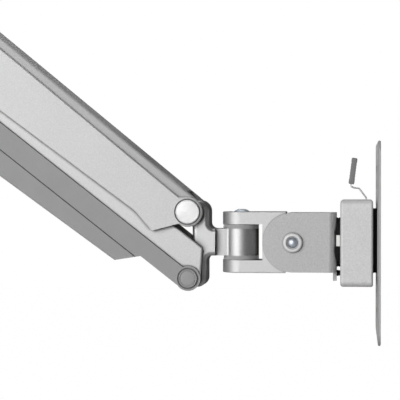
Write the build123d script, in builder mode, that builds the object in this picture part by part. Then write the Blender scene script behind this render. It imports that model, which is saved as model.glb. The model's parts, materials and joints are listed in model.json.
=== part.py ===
from build123d import *
import os
from math import acos, asin, atan2, cos, hypot, radians, sin

# Full motion wall mount for a flat screen. A parallel arm, balanced by a gas spring, hangs between a swivel
# on the wall and a swivel at the screen, and keeps the head level. The head swivels, tilts and turns.
# Millimetres. The origin is on the wall at the middle of the wall plate, +X leaves the wall and +Z is up.

# Layout of the axes
wall_to_swivel = 56.0
swivel_to_pivot = 57.0
upper_pivot_rise = 34.0
lower_pivot_drop = 40.0
arm_length = 360.0
arm_slope = 38.0
arm_lowest = 45.0
arm_highest = 30.0
swivel_to_tilt = 59.0
tilt_to_base = 44.0
turn_rise = 2.4

# Clearances
running = 0.06
seat_gap = 0.02
side_gap = 0.3

# Wall plate
wall_plate_width = 120.0
wall_plate_height = 260.0
wall_plate_thickness = 4.0
wall_plate_corner = 12.0
wall_lip_depth = 10.0
wall_hole_across = 84.0
wall_hole_upright = 220.0
wall_hole_radius = 4.25

# Wall clevis flange
flange_width = 68.0
flange_height = 116.0
flange_thickness = 9.0
flange_corner = 10.0
flange_screw_across = 46.0
flange_screw_upright = 94.0
flange_screw_radius = 4.0
flange_screw_head_radius = 7.0
flange_screw_head_height = 4.4
flange_screw_socket_flats = 5.0
flange_screw_socket_depth = 2.6

# Swivels
ear_radius = 20.5
ear_half_height = 34.0
slot_half_height = 20.0
slot_reach = 25.0
barrel_radius = 20.0
barrel_half_height = 15.0
swivel_bolt_radius = 6.0
swivel_bush_wall = 2.0
swivel_bush_length = 12.0
dome_radius = 9.9
dome_height = 3.4
swivel_nut_flats = 19.0
swivel_nut_height = 8.0
nut_recess_depth = 9.0
nut_recess_room = 0.4

# Knuckles
knuckle_half = 22.0
knuckle_step = 27.5
knuckle_edge_round = 5.0
knuckle_back = 53.0
upper_lobe_radius = 12.6
upper_lobe_reach = 22.6
lower_lobe_radius = 10.0
lower_lobe_reach = 19.6
neck_round = 6.5
back_round = 6.0
web_half = 15.0
web_blend = 5.0
cam_slot_half = 6.3
cam_slot_room = 1.0

# Arm pivots
pivot_radius = 6.0
bush_wall = 1.5
bush_length = 14.0
upper_flange_radius = 12.0
lower_flange_radius = 9.8
pin_bore_radius = 3.0
pin_bore_depth = 10.0

# Upper arm channel
sheet = 3.0
link_inner_half = 24.5
link_side_room = 0.5
channel_inner_half = link_inner_half + sheet + link_side_room
channel_half = channel_inner_half + sheet
channel_top_front = 17.1
channel_top_rear = 25.6
channel_front_round = 16.0
channel_edge_round = 3.2
channel_front_setback = 2.0
channel_skirt = 38.0
channel_skirt_front = 33.0
channel_chin_back = 22.0
channel_waist_back = 47.0
web_front_clear = 16.0
web_rear_clear = 36.0

# Upper arm side covers
cover_thickness = 3.5
cover_front_round = 16.7
cover_rear_round = 25.0
cover_top_front = 6.7
cover_top_rear = 16.0
cover_top_start = 18.8
cover_chin_back = 19.0
cover_chin_drop = 41.5
cover_waist_back = 47.0
cover_waist_drop = 35.6
cover_heel_drop = 44.0
cover_heel_forward = 26.0
cover_waist_round = 40.0
cover_front_edge = 3.0
cover_edge = 1.0
upper_cap_radius = 13.3
upper_cap_recess_radius = 14.7
upper_cap_recess_depth = 2.2
upper_cap_stem_radius = 9.0
cap_proud = 0.6
cap_edge = 0.5

# Lower link and its cable cover
link_half = link_inner_half + sheet
link_top = 36.5
link_round = 13.5
link_front_reach = 16.0
link_corner = 3.0
link_edge = 2.0
link_web_clear = 24.0
cable_wall = 2.5
cable_inner_half = link_half + side_gap
cable_half = cable_inner_half + cable_wall
cable_top = 6.3
cable_ear_radius = 13.9
cable_ear_drop = 13.2
link_bottom = cable_ear_drop - cable_wall - side_gap
belly_front_start = 57.0
belly_front_end = 77.6
belly_front_drop = 35.3
belly_rear_start = 48.0
belly_rear_end = 70.0
belly_rear_drop = 43.5
belly_edge_round = 4.0
mouth_half = 12.0
mouth_margin = 6.0
crease_drop = 17.5
crease_width = 1.3
crease_depth = 1.5
lower_cap_radius = 10.3
lower_cap_recess_radius = 12.0
lower_cap_recess_depth = 1.5
lower_cap_stem_radius = 7.0

# Counterbalance: the cam is a spiral, so the rod slides evenly as the arm swings
cam_half = 6.0
cam_gain = 17.0
cam_hub_radius = 20.0
cam_margin = 6.0
cam_points = 7
cam_dowel_radius = 3.0
cam_dowel_back = 15.0
cam_dowel_half = 19.0
roller_radius = 9.0
roller_half = 5.0
roller_pin_radius = 3.0
roller_nearest = 33.0
fork_cheek = 4.0
fork_round = 8.0
fork_throat = 11.0
fork_length = 18.0
rod_radius = 5.0
rod_length = 115.0
rod_seat_depth = 5.0
piston_length = 8.0
cylinder_radius = 11.0
cylinder_wall = 2.0
cylinder_length = 160.0
cylinder_end_wall = 8.0
cylinder_standoff = 11.0
cylinder_eye_length = 26.0
cylinder_eye_half = 9.0
anchor_pin_radius = 5.0
anchor_from_cylinder = 14.0

# Swivelling clevis and tilt bracket
clevis_shoulder = 8.0
clevis_nose_radius = 30.0
clevis_edge = 1.0
bracket_sheet = 4.0
friction_disc_thickness = 1.2
friction_disc_radius = 24.0
friction_gap = 0.2
bracket_half_height = 33.0
bracket_bend = 8.0
tongue_width = 16.0
tongue_drop = 10.0
tilt_bolt_radius = 4.0
tilt_head_radius = 6.1
tilt_head_height = 3.4
tilt_washer_radius = 10.8
tilt_washer_thickness = 2.0
tilt_cup_radius = 7.5
tilt_cup_depth = 2.4
tilt_cup_edge = 2.2
tilt_nut_flats = 13.0
tilt_nut_height = 8.0

# Turn joint between the tilt bracket and the head box
turn_gap = 4.5
turn_bolt_radius = 5.0
turn_bush_wall = 1.0
turn_bolt_head_flats = 16.0
turn_bolt_head_height = 5.0
turn_nut_flats = 16.0
turn_nut_height = 8.0
turn_pad_radius = 27.6
glide_width = 12.0
glide_offset = 20.2
bumper_radius = 3.4
bumper_drop = 34.5

# Head box
box_depth = 35.5
box_half = 47.3
box_wall = 3.5
box_long_round = 6.0
box_back_round = 3.0
box_front_round = 2.5
front_plate_thickness = 3.0
post_radius = 5.5
post_inset = 11.0
post_screw_radius = 2.0
post_screw_length = 14.0
post_screw_head_radius = 3.8
post_screw_head_height = 2.2

# Screen plate, its pad and its studs
pad_size = 70.6
pad_thickness = 4.5
pad_corner = 8.0
large_hole_span = 200.0
plate_margin = 8.0
plate_size = large_hole_span + 2 * plate_margin
plate_thickness = 3.0
plate_corner = 12.0
plate_edge = 0.8
large_hole_radius = 3.3
small_hole_span = 100.0
small_hole_radius = 2.7
window_length = 84.0
window_width = 26.0
window_offset = 70.0
window_corner = 8.0
stud_offset = 16.0
stud_radius = 6.5
stud_neck_radius = 5.0
stud_head_radius = 7.5
stud_head_thickness = 3.0

# Latch
latch_thickness = 2.4
latch_setback = 4.2
latch_half_width = 14.0
latch_play = 0.3
latch_travel = 8.0
latch_rim = 5.0
rail_width = 4.0
spring_outer_radius = 4.0
spring_inner_radius = 2.8
wire_radius = 0.9
wire_bend = 1.8
wire_lead = 2.5
wire_in_tab = 10.0
wire_kink_one = (-7.9, 59.9)
wire_kink_two = (-14.0, 60.7)
wire_top_room = 2.0
tab_foot = (-16.6, 64.6)
tab_lean = 7.4
tab_length = 29.5
tab_depth = 6.4
tab_half_width = 9.0
tab_round = 1.5

# Worked-out places
slope = radians(arm_slope)
rear_x = wall_to_swivel + swivel_to_pivot
front_x = rear_x + arm_length * cos(slope)
head_z = -arm_length * sin(slope)
head_swivel_x = front_x + swivel_to_pivot
tilt_x = head_swivel_x + swivel_to_tilt
turn_z = head_z + turn_rise
base_outer_x = tilt_x + tilt_to_base + bracket_sheet
box_back_x = base_outer_x + turn_gap
box_front_x = box_back_x + box_depth
plate_back_x = box_front_x + pad_thickness
plate_front_x = plate_back_x + plate_thickness
front_plate_back_x = box_front_x - front_plate_thickness
latch_x = front_plate_back_x - latch_setback
cover_inner = channel_half + side_gap
cover_outer = cover_inner + cover_thickness
cheek_inner = ear_radius + friction_disc_thickness + friction_gap
cheek_outer = cheek_inner + bracket_sheet
swivel_bush_radius = swivel_bolt_radius + running + swivel_bush_wall
bush_radius = pivot_radius + running + bush_wall
turn_bush_radius = turn_bolt_radius + running + turn_bush_wall
roller_at_rest = roller_nearest + cam_gain * radians(arm_highest + arm_slope)
roller_farthest = roller_nearest + cam_gain * radians(arm_highest + arm_lowest)
cylinder_start = roller_farthest + fork_length + cylinder_standoff
cylinder_end = cylinder_start + cylinder_length


def side_view(x, z):
    """Upright drawing plane in the middle: across is away from the wall, its normal faces the near side."""
    return Plane(origin=(x, 0, z), x_dir=(1, 0, 0), z_dir=(0, -1, 0))


def plan_view(x, z):
    """Level drawing plane: across is away from the wall, and its normal points up."""
    return Plane(origin=(x, 0, z), x_dir=(1, 0, 0), z_dir=(0, 0, 1))


def end_view(x, z):
    """Upright drawing plane parallel to the wall: its normal points away from the wall."""
    return Plane(origin=(x, 0, z), x_dir=(0, 1, 0), z_dir=(1, 0, 0))


def arm_view(pivot_z):
    """Side view with across along the arm, from the pivot at its wall end."""
    return Plane(origin=(rear_x, 0, pivot_z), x_dir=(cos(slope), 0, -sin(slope)), z_dir=(0, -1, 0))


upper_view = arm_view(upper_pivot_rise)
lower_view = arm_view(-lower_pivot_drop)


def bar(plane, radius, start, end, mode=Mode.ADD):
    """Round bar along a plane's normal, between two distances from the plane."""
    with Locations(plane.offset(start)):
        Cylinder(radius, end - start, align=(Align.CENTER, Align.CENTER, Align.MIN), mode=mode)


def hexagon(plane, flats, start, end, mode=Mode.ADD):
    """Hexagonal bar along a plane's normal, between two distances from the plane."""
    with BuildSketch(plane.offset(start)) as section:
        RegularPolygon(flats / 2, 6, major_radius=False)
    extrude(section.sketch, amount=end - start, mode=mode)


def dome(plane, radius, height):
    """Shallow dome on a plane: a slice of a ball."""
    ball = (radius**2 + height**2) / (2 * height)
    middle = asin(radius / ball) / 2
    with BuildSketch(Plane(plane.origin, x_dir=plane.x_dir, z_dir=-plane.y_dir)) as half:
        with BuildLine():
            crown = (0, height)
            rim = (radius, 0)
            shoulder = (ball * sin(middle), ball * cos(middle) - ball + height)
            ThreePointArc(crown, shoulder, rim)
            Polyline(rim, (0, 0), crown)
        make_face()
    revolve(half.sketch, axis=Axis(plane.origin, plane.z_dir))


def along(plane, across, up=0.0):
    """The plane moved within itself."""
    origin = plane.origin + plane.x_dir * across + plane.y_dir * up
    return Plane(origin, x_dir=plane.x_dir, z_dir=plane.z_dir)


# Wall side


with BuildPart() as wall_plate:
    with BuildSketch(end_view(0, 0)):
        RectangleRounded(wall_plate_width, wall_plate_height, wall_plate_corner)
        with GridLocations(wall_hole_across, wall_hole_upright, 2, 2):
            Circle(wall_hole_radius, mode=Mode.SUBTRACT)
        with GridLocations(flange_screw_across, flange_screw_upright, 2, 2):
            Circle(flange_screw_radius + seat_gap, mode=Mode.SUBTRACT)
    extrude(amount=wall_plate_thickness)
    with BuildSketch(end_view(wall_plate_thickness, 0)):
        lip_offset = (wall_plate_width - wall_plate_thickness) / 2
        with Locations((lip_offset, 0), (-lip_offset, 0)):
            Rectangle(wall_plate_thickness, wall_plate_height - 2 * wall_plate_corner)
    extrude(amount=wall_lip_depth)

with BuildPart() as wall_clevis:
    with BuildSketch(end_view(wall_plate_thickness, 0)):
        RectangleRounded(flange_width, flange_height, flange_corner)
    extrude(amount=flange_thickness)
    with BuildSketch(plan_view(0, -ear_half_height)):
        with Locations((wall_to_swivel, 0)):
            Circle(ear_radius)
        with Locations((wall_plate_thickness, 0)):
            Rectangle(wall_to_swivel - wall_plate_thickness, 2 * ear_radius, align=(Align.MIN, Align.CENTER))
    extrude(amount=2 * ear_half_height)
    flange_front = wall_clevis.faces().filter_by(Axis.X).sort_by(Axis.X)[-1]
    fillet(flange_front.outer_wire().edges(), clevis_edge)
    ear_rims = wall_clevis.edges().filter_by(
        lambda edge: abs(abs(edge.center().Z) - ear_half_height) < running
        and edge.center().X > wall_plate_thickness + flange_thickness + running
    )
    fillet(ear_rims, clevis_edge)
    with Locations((wall_to_swivel - slot_reach, 0, 0)):
        Box(
            slot_reach + 2 * ear_radius,
            4 * ear_radius,
            2 * slot_half_height,
            align=(Align.MIN, Align.CENTER, Align.CENTER),
            mode=Mode.SUBTRACT,
        )
    swivel_axis = plan_view(wall_to_swivel, 0)
    bar(swivel_axis, swivel_bolt_radius + seat_gap, -ear_half_height, ear_half_height, Mode.SUBTRACT)
    hexagon(
        swivel_axis,
        swivel_nut_flats + nut_recess_room,
        -ear_half_height,
        nut_recess_depth - ear_half_height,
        Mode.SUBTRACT,
    )
    with BuildSketch(end_view(wall_plate_thickness, 0)):
        with GridLocations(flange_screw_across, flange_screw_upright, 2, 2):
            Circle(flange_screw_radius + seat_gap)
    extrude(amount=flange_thickness, mode=Mode.SUBTRACT)

with BuildPart() as wall_clevis_screws:
    screw_seat_x = wall_plate_thickness + flange_thickness
    with BuildSketch(end_view(0, 0)):
        with GridLocations(flange_screw_across, flange_screw_upright, 2, 2):
            Circle(flange_screw_radius)
    extrude(amount=screw_seat_x)
    with BuildSketch(end_view(screw_seat_x, 0)):
        with GridLocations(flange_screw_across, flange_screw_upright, 2, 2):
            Circle(flange_screw_head_radius)
    extrude(amount=flange_screw_head_height)
    with BuildSketch(end_view(screw_seat_x + flange_screw_head_height, 0)):
        with GridLocations(flange_screw_across, flange_screw_upright, 2, 2):
            RegularPolygon(flange_screw_socket_flats / 2, 6, major_radius=False)
    extrude(amount=-flange_screw_socket_depth, mode=Mode.SUBTRACT)


def swivel_bolt(x, z):
    """Domed bolt that a swivel turns on. Its thread ends flush with the nut in the lower ear."""
    with BuildPart() as bolt:
        bar(plan_view(x, z), swivel_bolt_radius, -ear_half_height, ear_half_height)
        dome(plan_view(x, z + ear_half_height), dome_radius, dome_height)
    return bolt


def swivel_nut(x, z):
    """Nut of a swivel bolt, in the recess under the lower ear."""
    with BuildPart() as nut:
        top = nut_recess_depth - ear_half_height
        hexagon(plan_view(x, z), swivel_nut_flats, top - swivel_nut_height, top)
        bar(plan_view(x, z), swivel_bolt_radius + seat_gap, -ear_half_height, top, Mode.SUBTRACT)
    return nut


def swivel_bushes(x, z):
    """Flanged bushes in both ends of a barrel. Their flanges fill the slot of the clevis."""
    with BuildPart() as bushes:
        bar(plan_view(x, z), barrel_radius, barrel_half_height, slot_half_height - side_gap)
        bar(plan_view(x, z), swivel_bush_radius, barrel_half_height - swivel_bush_length, barrel_half_height)
        bore = swivel_bolt_radius + running
        bar(plan_view(x, z), bore, 0, slot_half_height, Mode.SUBTRACT)
        mirror(about=plan_view(x, z))
    return bushes


def knuckle(x, z, way, with_cam):
    """Cast knuckle from a swivel's barrel to two arm pivots. Way is 1 if they lie towards +X, else -1."""
    view = Plane(origin=(x, 0, z), x_dir=(way, 0, 0), z_dir=(0, -way, 0))
    upper_edge = swivel_to_pivot - upper_lobe_reach
    upper_end = upper_pivot_rise + upper_lobe_radius
    lower_edge = swivel_to_pivot - lower_lobe_reach
    lower_end = -lower_pivot_drop - lower_lobe_radius
    neck_corners = ((upper_edge, barrel_half_height), (lower_edge, -barrel_half_height))
    back_corners = (
        (knuckle_back, upper_pivot_rise - upper_lobe_radius),
        (knuckle_back, lower_lobe_radius - lower_pivot_drop),
    )
    with BuildPart() as body:
        with BuildSketch(view) as outline:
            with Locations((knuckle_step, 0)):
                neck_size = knuckle_back - knuckle_step
                Rectangle(neck_size, 2 * barrel_half_height, align=(Align.MIN, Align.CENTER))
            with Locations((upper_edge, upper_end)):
                Rectangle(knuckle_back - upper_edge, upper_end, align=(Align.MIN, Align.MAX))
                Rectangle(upper_lobe_reach, upper_lobe_radius, align=(Align.MIN, Align.MAX))
            with Locations((lower_edge, lower_end)):
                Rectangle(knuckle_back - lower_edge, -lower_end, align=(Align.MIN, Align.MIN))
                Rectangle(lower_lobe_reach, lower_lobe_radius, align=(Align.MIN, Align.MIN))
            with Locations((swivel_to_pivot, upper_pivot_rise)):
                Circle(upper_lobe_radius)
            with Locations((swivel_to_pivot, -lower_pivot_drop)):
                Circle(lower_lobe_radius)
            for corner in neck_corners:
                fillet(outline.vertices().sort_by_distance(corner)[0], neck_round)
            for corner in back_corners:
                fillet(outline.vertices().sort_by_distance(corner)[0], back_round)
            fillet(outline.vertices().sort_by_distance((upper_edge, upper_end))[0], upper_lobe_radius)
            fillet(outline.vertices().sort_by_distance((lower_edge, lower_end))[0], lower_lobe_radius)
        extrude(amount=knuckle_half, both=True)
        faces_across = body.faces().filter_by(Axis.Y).sort_by(Axis.Y)
        rims = faces_across[0].edges() + faces_across[-1].edges()
        step_plane_x = x + way * knuckle_step
        rims = rims.filter_by(lambda edge: abs(edge.center().X - step_plane_x) > running)
        fillet(rims, knuckle_edge_round)
        with BuildSketch(view):
            Rectangle(knuckle_step + running, 2 * barrel_half_height, align=(Align.MIN, Align.CENTER))
        extrude(amount=web_half, both=True)
        bar(plan_view(x, z), barrel_radius, -barrel_half_height, barrel_half_height)
        upright = body.edges().filter_by(Axis.Z).filter_by(GeomType.LINE)
        meet = upright.filter_by(lambda edge: abs(abs(edge.center().Y) - web_half) < running)
        meet = meet.sort_by_distance((x, 0, z))[0:2]
        fillet(meet, web_blend)
        bore = swivel_bush_radius + seat_gap
        bar(plan_view(x, z), bore, -barrel_half_height, barrel_half_height, Mode.SUBTRACT)
        for up in (upper_pivot_rise, -lower_pivot_drop):
            pivot = along(view, swivel_to_pivot, up)
            bar(pivot, bush_radius + seat_gap, -knuckle_half, knuckle_half, Mode.SUBTRACT)
        if with_cam:
            slot_back = swivel_to_pivot - cam_hub_radius - cam_slot_room
            with BuildSketch(along(view, slot_back, upper_pivot_rise - cam_hub_radius - cam_slot_room)):
                Rectangle(4 * cam_hub_radius, 4 * cam_hub_radius, align=(Align.MIN, Align.MIN))
            extrude(amount=cam_slot_half, both=True, mode=Mode.SUBTRACT)
            dowel = along(view, swivel_to_pivot - cam_dowel_back, upper_pivot_rise)
            bar(dowel, cam_dowel_radius + seat_gap, -cam_dowel_half, cam_dowel_half, Mode.SUBTRACT)
    return body


def pivot_bushes(x, z):
    """Four flanged bushes of a knuckle: a pair at the upper pivot and a pair at the lower one."""
    flanges = (
        (upper_pivot_rise, upper_flange_radius, channel_inner_half - side_gap),
        (-lower_pivot_drop, lower_flange_radius, link_inner_half - side_gap),
    )
    with BuildPart() as bushes:
        for up, flange_radius, flange_end in flanges:
            pivot = side_view(x, z + up)
            bar(pivot, flange_radius, knuckle_half, flange_end)
            bar(pivot, bush_radius, knuckle_half - bush_length, knuckle_half)
            bar(pivot, pivot_radius + running, 0, flange_end, Mode.SUBTRACT)
        mirror(about=Plane.XZ)
    return bushes


def pivot_pin(x, z, half_length):
    """Pivot pin across the arm, bored at both ends for its caps."""
    with BuildPart() as pin:
        axis = side_view(x, z)
        bar(axis, pivot_radius, -half_length, half_length)
        bar(axis, pin_bore_radius + seat_gap, half_length - pin_bore_depth, half_length, Mode.SUBTRACT)
        bar(axis, pin_bore_radius + seat_gap, -half_length, pin_bore_depth - half_length, Mode.SUBTRACT)
    return pin


def pivot_caps(x, z, pin_end, floor, radius, stem_radius, top):
    """Two caps that hold a cover on a pivot pin: spigot in the pin, stem and disc in the cover's recess."""
    with BuildPart() as caps:
        axis = side_view(x, z)
        bar(axis, radius, floor, top)
        chamfer(caps.edges().filter_by(GeomType.CIRCLE).sort_by(Axis.Y)[0], cap_edge)
        bar(axis, stem_radius, pin_end, floor)
        bar(axis, pin_bore_radius, pin_end - pin_bore_depth / 2, pin_end)
        mirror(about=Plane.XZ)
    return caps


wall_swivel_bolt = swivel_bolt(wall_to_swivel, 0)
wall_swivel_nut = swivel_nut(wall_to_swivel, 0)
wall_swivel_bushes = swivel_bushes(wall_to_swivel, 0)
rear_knuckle = knuckle(wall_to_swivel, 0, 1, True)
rear_pivot_bushes = pivot_bushes(rear_x, 0)

head_swivel_bolt = swivel_bolt(head_swivel_x, head_z)
head_swivel_nut = swivel_nut(head_swivel_x, head_z)
head_swivel_bushes = swivel_bushes(head_swivel_x, head_z)
front_knuckle = knuckle(head_swivel_x, head_z, -1, False)
front_pivot_bushes = pivot_bushes(front_x, head_z)

rear_upper_pin = pivot_pin(rear_x, upper_pivot_rise, channel_half)
front_upper_pin = pivot_pin(front_x, head_z + upper_pivot_rise, channel_half)
rear_lower_pin = pivot_pin(rear_x, -lower_pivot_drop, link_half)
front_lower_pin = pivot_pin(front_x, head_z - lower_pivot_drop, link_half)

upper_cap_floor = cover_outer - upper_cap_recess_depth
upper_cap_top = cover_outer + cap_proud
upper_cap_sizes = (channel_half, upper_cap_floor, upper_cap_radius, upper_cap_stem_radius, upper_cap_top)
rear_upper_caps = pivot_caps(rear_x, upper_pivot_rise, *upper_cap_sizes)
front_upper_caps = pivot_caps(front_x, head_z + upper_pivot_rise, *upper_cap_sizes)
lower_cap_floor = cable_half - lower_cap_recess_depth
lower_cap_top = cable_half + cap_proud
lower_cap_sizes = (link_half, lower_cap_floor, lower_cap_radius, lower_cap_stem_radius, lower_cap_top)
rear_lower_caps = pivot_caps(rear_x, -lower_pivot_drop, *lower_cap_sizes)
front_lower_caps = pivot_caps(front_x, head_z - lower_pivot_drop, *lower_cap_sizes)


# Upper arm

upper_rear_axis = upper_view
upper_front_axis = along(upper_view, arm_length)
lower_rear_axis = lower_view
lower_front_axis = along(lower_view, arm_length)
far_out = 2 * arm_length
anchor_axis = along(upper_view, cylinder_end + anchor_from_cylinder)

with BuildPart() as upper_arm_channel:
    nose = (arm_length - channel_front_setback, channel_top_front)
    tangent_angle = atan2(nose[1], nose[0]) + acos(channel_top_rear / hypot(*nose))
    top_start = (channel_top_rear * cos(tangent_angle), channel_top_rear * sin(tangent_angle))
    with BuildSketch(upper_view):
        with BuildLine():
            Polyline(
                top_start,
                nose,
                (arm_length - channel_front_setback, 0),
                (arm_length, -channel_front_round),
                (arm_length - channel_chin_back, -channel_skirt),
                (arm_length - channel_waist_back, -channel_skirt_front),
                (channel_top_rear, -channel_skirt),
                (0, -channel_top_rear),
                (0, 0),
                close=True,
            )
        make_face()
        Circle(channel_top_rear)
        with Locations((arm_length, 0)):
            Circle(channel_front_round)
    extrude(amount=channel_half, both=True)
    nose_corner = along(upper_view, *nose)
    top_run = upper_view.x_dir * (nose[0] - top_start[0]) + upper_view.y_dir * (nose[1] - top_start[1])
    with BuildSketch(Plane(nose_corner.origin, x_dir=(0, 1, 0), z_dir=top_run)) as cross_section:
        Rectangle(2 * channel_half, arm_length, align=(Align.CENTER, Align.MAX))
        fillet(cross_section.vertices().sort_by(Axis.Y)[-2:], channel_edge_round)
    extrude(amount=far_out, both=True, mode=Mode.INTERSECT)
    with BuildSketch(upper_view):
        with BuildLine():
            Polyline(
                (-arm_length, -arm_length),
                (-arm_length, channel_top_rear + sheet),
                (web_rear_clear, channel_top_rear + sheet),
                (web_rear_clear, channel_top_rear - sheet),
                (arm_length - web_front_clear, channel_top_front - sheet),
                (arm_length - web_front_clear, channel_top_rear + sheet),
                (far_out, channel_top_rear + sheet),
                (far_out, -arm_length),
                close=True,
            )
        make_face()
    extrude(amount=channel_inner_half, both=True, mode=Mode.SUBTRACT)
    for axis in (upper_rear_axis, upper_front_axis):
        bar(axis, pivot_radius + seat_gap, -channel_half, channel_half, Mode.SUBTRACT)
    bar(anchor_axis, anchor_pin_radius + seat_gap, -channel_half, channel_half, Mode.SUBTRACT)

with BuildPart() as upper_cover_near:
    tangent_across = arm_length - cover_front_round * sin(slope)
    tangent_up = cover_front_round * cos(slope)
    with BuildSketch(upper_view.offset(cover_inner)) as cover_side:
        with BuildLine():
            Polyline(
                (0, cover_top_rear),
                (arm_length - cover_top_start, cover_top_front),
                (tangent_across, tangent_up),
                (arm_length, 0),
                (arm_length, -cover_front_round),
                (arm_length - cover_chin_back, -cover_chin_drop),
                (arm_length - cover_waist_back, -cover_waist_drop),
                (cover_heel_forward, -cover_heel_drop),
                (-cover_rear_round, 0),
                close=True,
            )
        make_face()
        Circle(cover_rear_round)
        with Locations((arm_length, 0)):
            Circle(cover_front_round)
        waist = (arm_length - cover_waist_back, -cover_waist_drop)
        fillet(cover_side.vertices().sort_by_distance(waist)[0], cover_waist_round)
    extrude(amount=cover_thickness)
    front_end = along(upper_view, arm_length).origin
    reach = hypot(cover_chin_back, cover_chin_drop)
    rim = upper_cover_near.faces().sort_by(Axis.Y)[0].outer_wire().edges()
    fillet(rim.filter_by(lambda edge: (edge.center() - front_end).length < reach), cover_front_edge)
    rim = upper_cover_near.faces().sort_by(Axis.Y)[0].outer_wire().edges()
    chamfer(rim.filter_by(lambda edge: (edge.center() - front_end).length > reach), cover_edge)
    for axis in (upper_rear_axis, upper_front_axis):
        bar(axis, upper_cap_stem_radius + running, cover_inner, cover_outer, Mode.SUBTRACT)
        bar(axis, upper_cap_recess_radius, upper_cap_floor, cover_outer, Mode.SUBTRACT)

with BuildPart() as upper_cover_far:
    mirror(upper_cover_near.part, about=Plane.XZ)


# Lower link and cable cover

with BuildPart() as lower_link:
    edge_length = (link_top - link_front_reach * sin(slope)) / cos(slope)
    corner_across = link_front_reach * cos(slope) - edge_length * sin(slope)
    edge_angle = atan2(link_top, corner_across) - acos(link_round / hypot(corner_across, link_top))
    tangent_across = link_round * cos(edge_angle)
    tangent_up = link_round * sin(edge_angle)
    with BuildSketch(lower_view) as link_side:
        with BuildLine():
            Polyline(
                (-tangent_across, tangent_up),
                (-corner_across, link_top),
                (arm_length + corner_across, link_top),
                (arm_length + tangent_across, tangent_up),
                (arm_length, 0),
                (arm_length, -link_bottom),
                (0, -link_bottom),
                (0, 0),
                close=True,
            )
        make_face()
        with Locations((0, 0), (arm_length, 0)):
            Circle(link_round)
        for corner in ((-corner_across, link_top), (arm_length + corner_across, link_top)):
            fillet(link_side.vertices().sort_by_distance(corner)[0], link_corner)
    extrude(amount=link_half, both=True)
    flanks = lower_link.faces().filter_by(Axis.Y).sort_by(Axis.Y)
    fillet(flanks[0].edges() + flanks[-1].edges(), link_edge)
    with BuildSketch(lower_view):
        with BuildLine():
            Polyline(
                (-arm_length, arm_length),
                (far_out, arm_length),
                (far_out, -arm_length),
                (arm_length - link_web_clear, -arm_length),
                (arm_length - link_web_clear, sheet - link_bottom),
                (link_web_clear, sheet - link_bottom),
                (link_web_clear, -arm_length),
                (-arm_length, -arm_length),
                close=True,
            )
        make_face()
    extrude(amount=link_inner_half, both=True, mode=Mode.SUBTRACT)
    for axis in (lower_rear_axis, lower_front_axis):
        bar(axis, pivot_radius + seat_gap, -link_half, link_half, Mode.SUBTRACT)

belly = (
    (arm_length - belly_front_start, cable_ear_drop),
    (arm_length - belly_front_end, belly_front_drop),
    (belly_rear_end, belly_rear_drop),
    (belly_rear_start, cable_ear_drop),
)

with BuildPart() as cable_cover:
    with BuildSketch(lower_view):
        with BuildLine():
            Polyline(
                (0, cable_top),
                (arm_length, cable_top),
                (arm_length, -cable_ear_drop),
                *[(across, -drop) for across, drop in belly],
                (0, -cable_ear_drop),
                close=True,
            )
        make_face()
        with Locations((0, 0), (arm_length, 0)):
            Circle(cable_ear_radius)
    extrude(amount=cable_half, both=True)
    flanks = cable_cover.faces().filter_by(Axis.Y).sort_by(Axis.Y)
    long_rims = flanks[0].edges() + flanks[-1].edges()
    down = Axis(lower_view.origin, -lower_view.y_dir)
    fillet(long_rims.filter_by(GeomType.LINE).sort_by(down)[-2:], belly_edge_round)
    with BuildSketch(lower_view):
        with BuildLine():
            Polyline(
                (-arm_length, arm_length),
                (far_out, arm_length),
                (far_out, -arm_length),
                (arm_length - link_web_clear, -arm_length),
                (arm_length - link_web_clear, cable_wall - cable_ear_drop),
                *[(across, cable_wall - drop) for across, drop in belly],
                (link_web_clear, cable_wall - cable_ear_drop),
                (link_web_clear, -arm_length),
                (-arm_length, -arm_length),
                close=True,
            )
        make_face()
    extrude(amount=cable_inner_half, both=True, mode=Mode.SUBTRACT)
    for top_corner, low_corner in ((belly[0], belly[1]), (belly[3], belly[2])):
        top = Vector(top_corner[0], -top_corner[1])
        low = Vector(low_corner[0], -low_corner[1])
        inset = (low - top).normalized() * mouth_margin
        through = Vector(0, 2 * cable_wall)
        mouth = (top + inset + through, low - inset + through, low - inset - through, top + inset - through)
        with BuildSketch(lower_view):
            with BuildLine():
                Polyline(*[(corner.X, corner.Y) for corner in mouth], close=True)
            make_face()
        extrude(amount=mouth_half, both=True, mode=Mode.SUBTRACT)
    crease_length = arm_length - belly_front_start - belly_rear_start
    crease_middle = along(lower_view, belly_rear_start + crease_length / 2, -crease_drop)
    with BuildSketch(crease_middle.offset(cable_half - crease_depth)):
        Rectangle(crease_length, crease_width)
    extrude(amount=cable_wall, mode=Mode.SUBTRACT)
    with BuildSketch(crease_middle.offset(crease_depth - cable_half)):
        Rectangle(crease_length, crease_width)
    extrude(amount=-cable_wall, mode=Mode.SUBTRACT)
    for axis in (lower_rear_axis, lower_front_axis):
        bar(axis, lower_cap_stem_radius + running, -cable_half, cable_half, Mode.SUBTRACT)
        bar(axis, lower_cap_recess_radius, lower_cap_floor, cable_half, Mode.SUBTRACT)
        bar(axis, lower_cap_recess_radius, -cable_half, -lower_cap_floor, Mode.SUBTRACT)


# Counterbalance


def cam_point(angle):
    """Point of the cam's face where the roller bears while the arm is at an angle, in degrees above level."""
    swing = radians(angle)
    reach = roller_nearest + cam_gain * radians(arm_highest - angle)
    roller = Vector(reach * cos(swing), reach * sin(swing))
    travel = Vector(
        -cam_gain * cos(swing) - reach * sin(swing),
        -cam_gain * sin(swing) + reach * cos(swing),
    ).normalized()
    outward = Vector(travel.Y, -travel.X)
    return roller - outward * (roller_radius + side_gap)


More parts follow.
